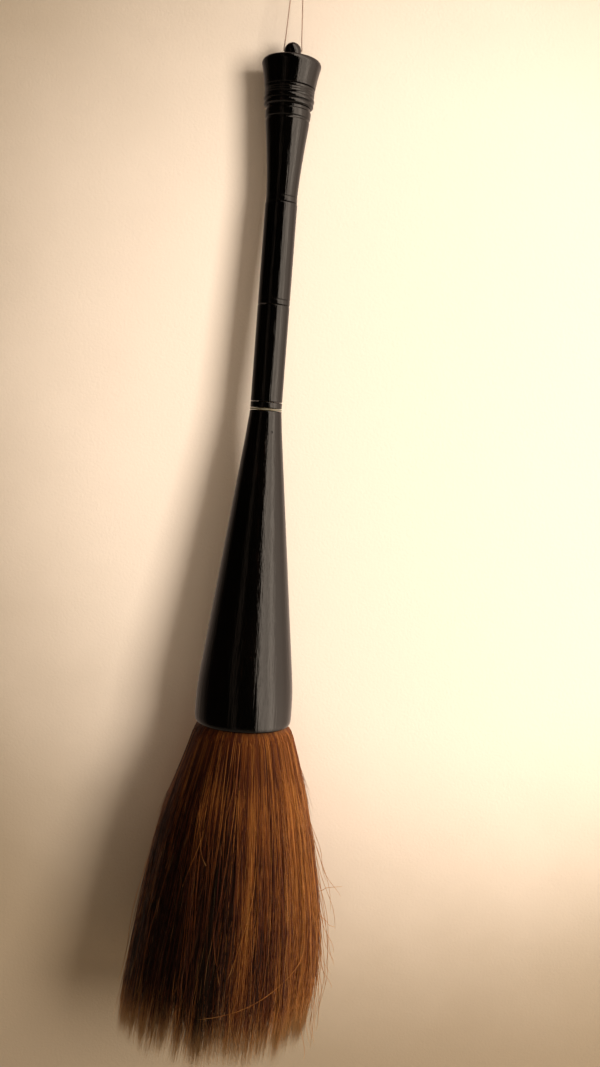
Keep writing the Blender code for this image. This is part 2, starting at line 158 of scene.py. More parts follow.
GATHER_START = 110.0  # below this depth, in millimetres, locks draw into wisps
GATHER_LENGTH = 80.0
OPENING_START = 2 * MM  # inside the mouth, where the layers begin to part
OPENING_LENGTH = 13 * MM
# How much locks and hairs differ: in tone, outward lift, sideways sway (radians), length and wave.
BROAD_TONE = 0.055
BROAD_LIFT = 0.9 * MM
BROAD_SWAY = 0.022
FINE_TONE = 0.035
FINE_LENGTH = 2.5 * MM
LOCK_WAVE = 1.6 * MM
HAIR_WAVE = 1.5 * MM
OUTWARD_WAVE = 0.5 * MM
HAIR_SLANT = 0.018
LOOSE_SHARE = 0.06  # the share of full-length hairs that stand off the tuft
LOOSE_REACH = (0.5, 4.5)  # in millimetres
CROSSING_SHARE = 0.14  # the share of hairs that are pale and cross over the others
CROSSING_RISE = 50 * MM  # they reach the surface at this depth
CROSSING_SLANT = 0.13
CROSSING_WIDTH = 1.25
FLYAWAY_SHARE = 0.05  # the share of hairs that are short and stand off as well
FLYAWAY_SHORTFALL = (10, 150)  # in millimetres
STRAY_RADIUS = 0.19 * MM
STRAY_PALENESS = 0.6
MASS_SIDES = 360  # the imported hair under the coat
MASS_END = 150 * MM
MASS_TIP = 3 * MM
MASS_CLOSING_START = 118 * MM
MASS_CLOSING_LENGTH = 36 * MM
MASS_INSET = 3.2 * MM
MASS_LOWER_INSET = 1.3 * MM
MASS_RIDGES = 0.7 * MM
LAYER_DEPTH = 2.1 * MM  # how far under the surface the coat's hairs lie at most
FURROW_DEPTH = 0.2 * MM  # between fine locks
VALLEY_DEPTH = 0.6 * MM  # between broad locks
# Pale and dark streaks: the number of waves round the tuft, and how much they change the tone.
STREAKS = ((19, 0.045), (41, 0.050), (67, 0.045), (97, 0.035))
FRONT = math.radians(-90)  # the side towards -Y; the right side, +X, is angle 0

# Broad changes of the hair's tone, most of them painted light and shade: paler on the lit right
# side and shoulder, darker on the shaded left, centre and valley, with a few narrow streaks of the
# hair's own tone. Centre in degrees right of the front, half-width in degrees, the depths in
# millimetres where the change begins, is full, starts to fade and ends, and its amount.
BASE_TONE = 0.49
TONE_AND_PAINTED_LIGHT_ZONES = (
    (68, 36, -20, -10, 190, 220, 0.17),
    (0, 75, -20, -10, 15, 60, 0.13),
    (12, 26, 0, 25, 175, 200, -0.17),
    (-42, 24, -20, 90, 152, 180, -0.37),
    (-75, 16, 30, 90, 155, 186, -0.10),
    (-10, 22, 20, 95, 160, 195, -0.20),
    (-6, 4.5, 55, 100, 165, 190, -0.20),
    (15, 2.8, 20, 50, 140, 170, 0.36),
    (-22, 3, 20, 45, 130, 165, 0.12),
    (24, 4, 80, 110, 160, 180, -0.10),
)

TUFT_SHADING = 1.2  # how strongly light falls on hairs as on the whole tuft
HAIR_SEED = 11
CORD_SEED = 5


def smooth_step(value):
    clipped = np.clip(value, 0, 1)
    return clipped * clipped * (3.0 - 2.0 * clipped)


def new_object(name, data):
    made = bpy.data.objects.new(name, data)
    bpy.context.scene.collection.objects.link(made)
    return made


def smooth_mesh(name, places, faces):
    """A smooth-shaded mesh whose normals all point outwards."""
    mesh = bpy.data.meshes.new(name)
    mesh.from_pydata(places, [], faces)
    shape = bmesh.new()
    shape.from_mesh(mesh)
    bmesh.ops.recalc_face_normals(shape, faces=shape.faces)
    shape.to_mesh(mesh)
    shape.free()
    mesh.shade_smooth()
    return mesh


# --- Turned pieces ---

def meridian(node):
    """A turned node's outline towards -Y: (radius, height) points in order, and whether it closes."""
    mesh = frame["nodes"][node].data
    keys = []
    for vertex in mesh.vertices:
        x, y, z = vertex.co
        on_plane = abs(x) < TOUCH and y < TOUCH
        keys.append((round(abs(y), 6), round(z, 6)) if on_plane else None)
    links = {}
    for edge in mesh.edges:
        first, second = (keys[i] for i in edge.vertices)
        if first is not None and second is not None and first != second:
            links.setdefault(first, set()).add(second)
            links.setdefault(second, set()).add(first)
    ends = [key for key, near in links.items() if len(near) == 1]
    start = max(ends or links, key=lambda key: key[1])
    path = [start]
    previous = None
    while True:
        onward = sorted(key for key in links[path[-1]] if key != previous)
        if not onward or onward[0] == start:
            return path, not ends
        previous = path[-1]
        path.append(onward[0])


def eased(points, closed, corner_round):
    """The outline with a small round on each sharp corner and each gentle bend made into a curve."""
    made = []
    for i, point in enumerate(points):
        corner = Vector(point)
        if not closed and i in (0, len(points) - 1):
            made.append(corner)
            continue
        back = Vector(points[i - 1]) - corner
        ahead = Vector(points[(i + 1) % len(points)]) - corner
        turn = math.pi - back.angle(ahead)
        reach = min(back.length, ahead.length) / 2
        if turn > SHARP_TURN:
            reach = min(reach, corner_round)
        start = corner + back.normalized() * reach
        end = corner + ahead.normalized() * reach
        steps = max(1, math.ceil(turn / TURN_STEP))
        for k in range(steps + 1):
            t = k / steps
            made.append(start * (1 - t) ** 2 + corner * (2 * t * (1 - t)) + end * t * t)
    return [point for i, point in enumerate(made) if i == 0 or (point - made[i - 1]).length > TOUCH]


def spaced(points, closed, step):
    """The same outline with extra points on its long stretches."""
    made = []
    ahead = points[1:] + (points[:1] if closed else [])
    for start, end in zip(points, ahead):
        count = max(1, math.ceil((end - start).length / step))
        made += [start.lerp(end, k / count) for k in range(count)]
    return made if closed else made + [points[-1]]


def worked(angle, height, radius):
    """How far the hand-scraped surface stands from a true circle."""
    around = radius / WORKED_WIDTH
    place = (math.cos(angle) * around, math.sin(angle) * around, height / WORKED_LENGTH)
    return WORKED_DEPTH * noise.noise(place)


def lathe(name, outline, closed):
    """Turns (radius, height) points about Z. A point on the axis becomes one vertex."""
    places = []
    rings = []
    for radius, height in outline:
        first = len(places)
        if radius < TOUCH:
            places.append((0, 0, height))
            rings.append([first])
            continue
        for k in range(LATHE_STEPS):
            angle = math.tau * k / LATHE_STEPS
            reach = radius + worked(angle, height, radius)
            places.append((reach * math.cos(angle), reach * math.sin(angle), height))
        rings.append(range(first, first + LATHE_STEPS))
    faces = []
    lower_rings = rings[1:] + (rings[:1] if closed else [])
    for upper, lower in zip(rings, lower_rings):
        for k in range(LATHE_STEPS):
            j = (k + 1) % LATHE_STEPS
            if len(upper) == 1:
                faces.append((upper[0], lower[k], lower[j]))
            elif len(lower) == 1:
                faces.append((upper[k], lower[0], upper[j]))
            else:
                faces.append((upper[k], lower[k], lower[j], upper[j]))
    return new_object(name, smooth_mesh(name, places, faces))


def turned_piece(node, name, material):
    """A fine turned piece on the node's own outline, which stands for the node."""
    points, closed = meridian(node)
    outline = spaced(eased(points, closed, EDGE_ROUND), closed, RING_STEP)
    made = lathe(name, outline, closed)
    made.data.materials.append(material)
    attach(made, "brush")
    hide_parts(node)
    return made


def drill(piece, first_radius, second_radius, length, place, turn):
    """Cuts a round or conical hole of a length into a piece, centred on a place."""
    cutter_mesh = bpy.data.meshes.new("drill")
    shape = bmesh.new()
    bmesh.ops.create_cone(
        shape,
        cap_ends=True,
        segments=40,
        radius1=first_radius,
        radius2=second_radius,
        depth=length,
        matrix=Matrix.Translation(place) @ turn,
    )
    shape.to_mesh(cutter_mesh)
    shape.free()
    cutter = new_object("drill", cutter_mesh)
    cut = piece.modifiers.new("drilled", "BOOLEAN")
    cut.operation = "DIFFERENCE"
    cut.object = cutter
    evaluated = piece.evaluated_get(bpy.context.evaluated_depsgraph_get())
    drilled = bpy.data.meshes.new_from_object(evaluated)
    piece.modifiers.remove(cut)
    piece.data = drilled
    drilled.shade_smooth()
    drilled.set_sharp_from_angle(angle=SHARP_TURN)
    bpy.data.objects.remove(cutter)


# --- Cord ---

def resampled(points, step, closed):
    """Points at even distances along a 3-D line."""
    line = np.array(points)
    if closed:
        line = np.vstack([line, line[:1]])
    lengths = np.linalg.norm(np.diff(line, axis=0), axis=1)
    travelled = np.concatenate([[0], np.cumsum(lengths)])
    count = max(4, round(travelled[-1] / step))
    stations = np.linspace(0, travelled[-1], count, endpoint=not closed)
    return np.stack([np.interp(stations, travelled, line[:, k]) for k in range(3)], axis=1)


def loop_centreline():
    """The cord loop's centre, in the XZ plane, starting in the cross hole."""
    low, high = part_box("hanging_cord")
    crown = high.z - CORD_RADIUS
    exit_x = high.x - CORD_RADIUS
    half = [(exit_x, HOLE_Z), (LOOP_WAIST, HOLE_Z + LOOP_WAIST_HEIGHT), (CROWN_HALF_WIDTH, crown)]
    corners = half + [(-x, z) for x, z in reversed(half)]
    line = eased(corners, True, CORD_CORNER)
    return [(point.x, 0, point.y) for point in line]


def line_frames(line, closed):
    """Unit tangents and two unit normals along a line of points."""
    if closed:
        tangents = np.roll(line, -1, axis=0) - np.roll(line, 1, axis=0)
    else:
        tangents = np.gradient(line, axis=0)
    tangents /= np.linalg.norm(tangents, axis=1, keepdims=True)
    across = np.cross(tangents, (0, 1, 0))
    across /= np.linalg.norm(across, axis=1, keepdims=True)
    return tangents, across, np.cross(across, tangents)


def tube(line, radius, sides, closed):
    """Vertices and faces of a round tube along a line; an open tube gets flat caps."""
    _, across, over = line_frames(line, closed)
    angles = math.tau * np.arange(sides) / sides
    rings = (
        line[:, None, :]
        + radius * np.cos(angles)[None, :, None] * across[:, None, :]
        + radius * np.sin(angles)[None, :, None] * over[:, None, :]
    )
    count = len(line)
    faces = []
    for i in range(count if closed else count - 1):
        for k in range(sides):
            j = (k + 1) % sides
            below = (i + 1) % count
            faces.append((i * sides + k, i * sides + j, below * sides + j, below * sides + k))
    if not closed:
        faces.append(tuple(reversed(range(sides))))
        faces.append(tuple(range((count - 1) * sides, count * sides)))
    return rings.reshape(-1, 3), faces


def twisted(line, closed):
    """Two ply lines wound round a line."""
    _, across, over = line_frames(line, closed)
    length = np.linalg.norm(np.diff(line, axis=0), axis=1).sum()
    turns = max(1, round(length / PLY_PITCH))
    phase = math.tau * turns * np.arange(len(line)) / (len(line) if closed else len(line) - 1)
    offset = CORD_RADIUS - PLY_RADIUS
    for start in (0, math.pi):
        along = np.cos(phase + start)[:, None] * across + np.sin(phase + start)[:, None] * over
        yield line + offset * along


def knot_line(leg_top, leg_down):
    """The knot's coil round one leg, with a loose tail below it."""
    sideways = Vector((0, 1, 0)).cross(leg_down).normalized()
    front = Vector((0, 1, 0))
    points = []
    for k in range(KNOT_STEPS + 1):
        share = k / KNOT_STEPS
        angle = math.tau * KNOT_TURNS * share
        place = leg_top + leg_down * (share * KNOT_TURNS * KNOT_PITCH * CORD_RADIUS)
        place += sideways * (KNOT_RADIUS * math.cos(angle))
        place += front * (KNOT_RADIUS * math.sin(angle))
        points.append(place)
    tail_start = points[-1]
    for k in range(1, TAIL_STEPS + 1):
        share = k / TAIL_STEPS
        droop = leg_down * (TAIL_LENGTH * share) + sideways * (TAIL_DRIFT * share * (1.4 - share))
        points.append(tail_start + droop)
    return np.array([tuple(point) for point in points])


def fuzz_lines(line, rng):
    """Short loose fibres that stand off the cord."""
    for _ in range(FUZZ_COUNT):
        start = line[rng.integers(len(line))]
        angle = rng.uniform(0, math.tau)
        out = np.array([math.cos(angle), math.sin(angle), rng.uniform(-0.6, 0.6)])
        length = rng.uniform(*FUZZ_LENGTHS) * MM
        curl = np.array([0, 0, rng.uniform(-0.8, 0.4)])
        shares = np.linspace(0, 1, 4)[:, None]
        yield start + out * CORD_RADIUS * 0.8 + length * (out * shares + curl * shares**2)


def hanging_cord(material):
    rng = np.random.default_rng(CORD_SEED)
    line = resampled(loop_centreline(), CORD_STEP, True)
    parts = [tube(ply, PLY_RADIUS, PLY_SIDES, True) for ply in twisted(line, True)]
    low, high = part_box("hanging_cord")
    crown = Vector((CROWN_HALF_WIDTH, 0, high.z - CORD_RADIUS))
    waist = Vector((LOOP_WAIST, 0, HOLE_Z + LOOP_WAIST_HEIGHT))
    down = (waist - crown).normalized()
    knot = resampled(knot_line(crown + down * KNOT_DROP, down), CORD_STEP, False)
    parts += [tube(ply, PLY_RADIUS, PLY_SIDES, False) for ply in twisted(knot, False)]
    parts += [tube(fibre, FUZZ_RADIUS, 3, False) for fibre in fuzz_lines(line, rng)]
    places = []
    faces = []
    for vertices, part_faces in parts:
        shift = len(places)
        places += vertices.tolist()
        faces += [tuple(i + shift for i in face) for face in part_faces]
    made = new_object("twisted_cord", smooth_mesh("twisted_cord", places, faces))
    made.data.materials.append(material)
    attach(made, "cord_loop")
    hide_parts("hanging_cord")


# --- Tuft ---

def coat_radius(depth, angle):
    """The tuft's outer radius at a depth below the mouth. Angle 0 is the right side, +X."""
    outside = np.maximum(depth, 0)
    spread = HAIR_MOUTH_RADIUS + HAIR_SPREAD * (1 - np.exp(-outside / HAIR_SPREAD_LENGTH))
    right = np.maximum(np.cos(angle), 0)
    bulge = RIGHT_BULGE * np.exp(-(((depth - RIGHT_BULGE_DEPTH) / RIGHT_BULGE_LENGTH) ** 2))
    tuck = RIGHT_TUCK * smooth_step((depth - RIGHT_TUCK_START) / RIGHT_TUCK_LENGTH)
    left = np.maximum(-np.cos(angle), 0)
    narrow = LEFT_NARROWING * np.exp(-(((depth - LEFT_NARROW_DEPTH) / LEFT_NARROW_LENGTH) ** 2))
    full = spread + right * (bulge - tuck) - left * narrow
    emerged = smooth_step(depth / HAIR_NECK_LENGTH)
    return HAIR_NECK_RADIUS * (1 - emerged) + full * emerged


def lean(depth):
    """How far the tuft has drifted to the left at a depth."""
    return LEAN * (np.maximum(depth, 0) / MEAN_LENGTH) ** 3


def placed(radius, angle, depth):
    """World points from radius, angle and depth below the mouth."""
    x = radius * np.cos(angle) - lean(depth)
    return np.stack([x, radius * np.sin(angle), MOUTH - depth], axis=-1)


def strand_mesh(name, paths, widths, tones):
    """One closed, tapered, three-sided hair for each path.

    Paths are (hair, point, xyz); widths and tones are (hair, point).
    """
    hairs, points, _ = paths.shape
    tangents = np.gradient(paths, axis=1)
    tangents /= np.linalg.norm(tangents, axis=2, keepdims=True)
    heading = paths[:, -1] - paths[:, 0]
    heading /= np.linalg.norm(heading, axis=1, keepdims=True)
    sideways = np.where(np.abs(heading[:, :1]) < 0.8, [[1, 0, 0]], [[0, 1, 0]])
    reference = np.cross(heading, sideways)[:, None, :]
    first = reference - (reference * tangents).sum(axis=2, keepdims=True) * tangents
    first /= np.linalg.norm(first, axis=2, keepdims=True)
    second = np.cross(tangents, first)
    rings = points - 1
    shares = hair_shares()[0] if points == HAIR_POINTS else np.linspace(0, 1, points)
    corners = []
    for side in range(3):
        angle = math.tau * side / 3
        offset = math.cos(angle) * first + math.sin(angle) * second
        corners.append(paths[:, :rings] + widths[:, :rings, None] * offset[:, :rings])
    body = np.stack(corners, axis=2).reshape(hairs, rings * 3, 3)
    vertices = np.concatenate([body, paths[:, -1:]], axis=1).reshape(-1, 3)
    pattern = [[0, 2, 1]]
    for i in range(rings - 1):
        for side in range(3):
            other = (side + 1) % 3
            pattern.append([i * 3 + side, i * 3 + other, i * 3 + 3 + other, i * 3 + 3 + side])
    last = (rings - 1) * 3
    pattern += [[last, last + 1, last + 3], [last + 1, last + 2, last + 3], [last + 2, last, last + 3]]
    size = rings * 3 + 1
    faces = [[i + hair * size for i in face] for hair in range(hairs) for face in pattern]
    mesh = bpy.data.meshes.new(name)
    mesh.from_pydata(vertices.tolist(), [], faces)
    mesh.shade_smooth()
    along = np.concatenate([np.repeat(shares[:rings], 3), [1]])
    store(mesh, "along", np.tile(along, hairs))
    ring_tones = np.repeat(tones[:, :rings], 3, axis=1)
    store(mesh, "tone", np.concatenate([ring_tones, tones[:, -1:]], axis=1).ravel())
    return new_object(name, mesh)


def store(mesh, name, values):
    attribute = mesh.attributes.new(name, "FLOAT", "POINT")
    attribute.data.foreach_set("value", np.asarray(values, np.float32))


def bend_with_tuft(piece, material):
    """Gives a hair piece its material and bakes its placement into its mesh."""
    piece.data.materials.append(material)
    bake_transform(piece)


def tone_with_painted_light(angle, depth):
    """The tuft's broad tone at places on it: 0 is nearly black and 1 is pale golden brown.

    Most of it is painted light on the right side and painted shade on the left and in the valleys.
    """
    tone = BASE_TONE
    from_front = np.degrees((angle - FRONT + math.pi) % math.tau - math.pi)
    for centre, width, begins, full, fades, ends, amount in TONE_AND_PAINTED_LIGHT_ZONES:
        apart = (from_front - centre + 180) % 360 - 180
        entering = smooth_step((depth / MM - begins) / (full - begins))
        leaving = smooth_step((depth / MM - fades) / (ends - fades))
        tone = tone + amount * np.exp(-((apart / width) ** 2)) * entering * (1 - leaving)
    return tone


def streaks(rng, angle):
    """Uneven pale and dark streaks round the tuft, as a change of tone."""
    tone = 0.0
    for number, size in STREAKS:
        phase, drift = rng.uniform(0, math.tau, 2)
        tone = tone + size * np.sin(number * angle + phase + 1.7 * np.sin(3 * angle + drift))
    return tone


def grow_locks(rng):
    """Broad locks round the tuft, and the fine locks that lie within them."""
    broad_step = math.tau / BROAD_LOCKS
    shift = rng.uniform(-0.35, 0.35, BROAD_LOCKS)
    broad_angle = broad_step * (np.arange(BROAD_LOCKS) + shift) - math.pi
    broad_tone = rng.normal(0, BROAD_TONE, BROAD_LOCKS)
    broad_lift = rng.normal(0, BROAD_LIFT, BROAD_LOCKS)
    broad_sway = rng.normal(0, BROAD_SWAY, BROAD_LOCKS)
    fine_step = math.tau / FINE_LOCKS
    fine_angle = fine_step * (np.arange(FINE_LOCKS) + rng.uniform(-0.5, 0.5, FINE_LOCKS)) - math.pi
    apart = (fine_angle[:, None] - broad_angle[None, :] + math.pi) % math.tau - math.pi
    owner = np.abs(apart + rng.normal(0, 0.25, apart.shape) * broad_step).argmin(axis=1)
    offset = apart[np.arange(FINE_LOCKS), owner]
    return {
        "step": fine_step,
        "angle": fine_angle,
        "tone": broad_tone[owner] + streaks(rng, fine_angle) + rng.normal(0, FINE_TONE, FINE_LOCKS),
        "length": rng.normal(0, FINE_LENGTH, FINE_LOCKS),
        "sway": broad_sway[owner] - 0.06 * offset + rng.normal(0, 1.2, FINE_LOCKS) * fine_step,
        "lift": broad_lift[owner] - VALLEY_DEPTH * (2 * offset / broad_step) ** 2,
        "gather": rng.uniform(0, 0.75, FINE_LOCKS),
        "wave": rng.normal(0, LOCK_WAVE, FINE_LOCKS),
        "wave_start": rng.uniform(0, math.tau, FINE_LOCKS),
    }


def waves(rng, count, shares, size):
    """Slow sideways waves that grow towards each hair's tip."""
    phase = rng.uniform(0, math.tau, (count, 1))
    pace = rng.uniform(0.6, 1.9, (count, 1))
    height = rng.normal(0, size, (count, 1))
    return height * shares * np.sin(math.tau * pace * shares + phase)


def hair_shares():
    """Where a hair's points lie along it, closer together at the root."""
    return np.linspace(0, 1, HAIR_POINTS)[None, :] ** ROOT_CROWDING


def coat_hairs(rng, locks):
    """The outer hairs' paths, widths and tones."""
    count = COAT_HAIRS
    shares = hair_shares()
    lock = rng.integers(FINE_LOCKS, size=count)
    spread = rng.uniform(-LOCK_OVERLAP, LOCK_OVERLAP, count)[:, None] * locks["step"]
    layer = rng.uniform(0, 1, (count, 1))
    crossing = rng.uniform(size=(count, 1)) < CROSSING_SHARE
    centre = locks["angle"][lock][:, None]
    short = np.minimum(rng.exponential(SHORTFALL, (count, 1)), LARGEST_SHORTFALL)
    flyaway = rng.uniform(size=(count, 1)) < FLYAWAY_SHARE
    short = np.where(flyaway, rng.uniform(*FLYAWAY_SHORTFALL, (count, 1)) * MM, short)
    uneven = rng.normal(0, TIP_UNEVENNESS, (count, 1))
    length = MEAN_LENGTH + locks["length"][lock][:, None] + np.minimum(uneven, LARGEST_EXTRA) - short
    depth = -ROOT_INSIDE + (length + ROOT_INSIDE) * shares
    gathered = locks["gather"][lock][:, None] * smooth_step((depth / MM - GATHER_START) / GATHER_LENGTH)
    angle = centre + spread * (1 - gathered) + locks["sway"][lock][:, None] * shares**1.5
    slant = np.where(crossing, CROSSING_SLANT, HAIR_SLANT) * rng.normal(size=(count, 1))
    angle = angle + slant * shares**1.3
    radius = coat_radius(depth, angle)
    opened = smooth_step((depth + OPENING_START) / OPENING_LENGTH)
    furrow = FURROW_DEPTH * (spread / locks["step"]) ** 2
    risen = np.where(crossing, smooth_step(depth / CROSSING_RISE), 0)
    sunk = (layer * LAYER_DEPTH + furrow) * (1 - risen)
    loose = (rng.uniform(size=(count, 1)) < LOOSE_SHARE) | flyaway
    loose = loose * rng.uniform(*LOOSE_REACH, (count, 1)) * MM
    radius = radius - sunk * opened + locks["lift"][lock][:, None] * opened * shares + loose * shares**3
    radius = radius + waves(rng, count, shares, OUTWARD_WAVE)
    lock_wave = np.sin(math.tau * 1.3 * shares + locks["wave_start"][lock][:, None])
    sideways = locks["wave"][lock][:, None] * shares * lock_wave + waves(rng, count, shares, HAIR_WAVE)
    angle = angle + sideways / np.maximum(radius, HAIR_NECK_RADIUS)
    stout = np.where(crossing, CROSSING_WIDTH, 1) * rng.uniform(0.75, 1.3, (count, 1))
    widths = HAIR_RADIUS * stout * (1 - TIP_TAPER * shares**4)
    # Each hair's own tone at random, with painted shade on the hairs that lie deeper in the coat.
    own = rng.normal(0, 0.035, (count, 1)) - 0.05 * layer
    pale = np.where(crossing, 0.08 + 0.54 * rng.uniform(size=(count, 1)) ** 1.6, own)
    tones = tone_with_painted_light(angle, depth) + locks["tone"][lock][:, None] + pale
    return placed(radius, angle, depth), widths, tones, centre[:, 0]


def inner_hairs(rng):
    """The paths, widths and tones of hairs that fill the tuft's inside and its ragged end."""
    count = INNER_HAIRS
    shares = hair_shares()
    centre = rng.uniform(-math.pi, math.pi, (count, 1))
    angle = centre + waves(rng, count, shares, 0.04)
    inwards = np.sqrt(rng.uniform(0.02, 0.92, (count, 1)))
    length = MEAN_LENGTH - rng.exponential(INNER_SHORTFALL, (count, 1))
    depth = -ROOT_INSIDE + (length + ROOT_INSIDE) * shares
    radius = coat_radius(depth, angle) * inwards + waves(rng, count, shares, 1 * MM)
    widths = HAIR_RADIUS * rng.uniform(0.9, 1.4, (count, 1)) * (1 - TIP_TAPER * shares**4)
    # Painted shade: the inner hairs are darker towards the root, deep inside the tuft.
    tones = tone_with_painted_light(angle, depth) - 0.12 * (1 - shares) + rng.normal(0, 0.06, (count, 1))
    return placed(radius, angle, depth), widths, tones, centre[:, 0]


def loose_tuft(material):
    """All the hairs, in one piece for each sector of the tuft."""
    rng = np.random.default_rng(HAIR_SEED)
    coat = coat_hairs(rng, grow_locks(rng))
    inside = inner_hairs(rng)
    paths, widths, tones, centres = (np.concatenate(pair) for pair in zip(coat, inside))
    sector = ((centres + math.pi) / (math.tau / SECTORS)).astype(int) % SECTORS
    for i in range(SECTORS):
        chosen = sector == i
        piece = strand_mesh(f"hair_sector_{i + 1}", paths[chosen], widths[chosen], tones[chosen])
        bend_with_tuft(piece, material)


# Stray hairs: the angles in degrees and the depths in millimetres where each one leaves the tuft
# and ends, and how many millimetres it stands off at its end.
STRAYS = (
    (0, -1, 105, 99, 13.5), (-5, -2, 102, 142, 9), (-8, 4, 112, 128, 10),
    (-12, -2, 122, 165, 10), (2, -8, 132, 190, 9), (-20, -12, 100, 150, 9),
    (4, -4, 50, 96, 7), (-10, -6, 118, 185, 8), (3, -6, 80, 160, 8),
    (-16, -11, 128, 200, 8), (-2, 2, 138, 202, 7), (-24, -28, 118, 176, 7),
    (6, 1, 108, 150, 9), (-30, -24, 140, 200, 6), (0, -1, 62, 106, 12),
    (2, 3, 28, 190, 9), (-4, -9, 40, 112, 9), (-8, -3, 70, 150, 11),
    (-14, -19, 84, 184, 9), (-3, -12, 96, 178, 8), (-20, -14, 90, 196, 8),
    (-6, 1, 100, 168, 6), (8, -2, 60, 128, 10), (-26, -20, 110, 192, 6),
    (-30, -98, 124, 160, 3.5), (-70, -84, 60, 136, 2), (-118, -104, 34, 74, 1.5),
    (-110, -121, 44, 92, 1.5), (-96, -88, 92, 140, 1.5), (-135, -141, 50, 160, 3),
    (-160, -157, 80, 188, 4), (-178, -174, 60, 170, 4), (150, 156, 60, 150, 5),
    (110, 102, 50, 170, 5), (70, 80, 70, 160, 6), (35, 29, 50, 180, 6),
)


def stray_hairs(material):
    """Single hairs that stand off the tuft or lie across it."""
    shares = np.linspace(0, 1, 26)
    paths = []
    tones = []
    for start, end, leaves, ends, reach in STRAYS:
        angle = np.radians(start + (end - start) * shares**1.6)
        depth = (leaves + (ends - leaves) * shares**0.85) * MM
        curl = 1.9 * np.sin(8.0 * shares + start) * shares
        off = reach * shares**1.5 + 0.8 - 2.5 * (1 - shares) ** 6 + curl
        paths.append(placed(coat_radius(depth, angle) + off * MM, angle, depth))
        tones.append(np.minimum(tone_with_painted_light(angle, depth) + STRAY_PALENESS, 1))
    paths = np.array(paths)
    widths = np.full(paths.shape[:2], STRAY_RADIUS) * (1 - 0.5 * shares[None, :] ** 2)
    bend_with_tuft(strand_mesh("stray_hairs", paths, widths, np.array(tones)), material)


def hair_mass(material):
    """The dense hair under the coat, as one ridged body. It stands for the CAD's hair solids."""
    sides = MASS_SIDES
    top = -ROOT_INSIDE
    angles = math.tau * np.arange(sides) / sides
    places = [(0, 0, MOUTH - top)]
    tones = [0]
    depths = np.concatenate([np.linspace(top, 12 * MM, 14), np.linspace(16 * MM, MASS_END, 34)])
    for depth in depths:
        inset = MASS_LOWER_INSET * smooth_step(depth / (30 * MM)) + MASS_INSET
        closing = smooth_step((depth - MASS_CLOSING_START) / MASS_CLOSING_LENGTH)
        for angle in angles:
            ridges = noise.noise((18 * math.cos(angle), 18 * math.sin(angle), depth / (70 * MM)))
            radius = (coat_radius(depth, angle) - inset) * (1 - 0.45 * closing**2)
            radius += MASS_RIDGES * ridges
            places.append(tuple(placed(radius, angle, depth)))
            tones.append(tone_with_painted_light(angle, depth))
    places.append(tuple(placed(0, 0, MASS_END + MASS_TIP)))
    tones.append(0)
    faces = [(0, 1 + k, 1 + (k + 1) % sides) for k in range(sides)]
    for i in range(len(depths) - 1):
        for k in range(sides):
            j = (k + 1) % sides
            upper = 1 + i * sides
            faces.append((upper + k, upper + sides + k, upper + sides + j, upper + j))
    last = 1 + (len(depths) - 1) * sides
    faces += [(last + k, len(places) - 1, last + (k + 1) % sides) for k in range(sides)]
    piece = new_object("hair_mass", smooth_mesh("hair_mass", places, faces))
    store(piece.data, "tone", tones)
    bend_with_tuft(piece, material)
    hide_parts("hair_base", "hair_core", "hair_coat")


# --- Materials ---

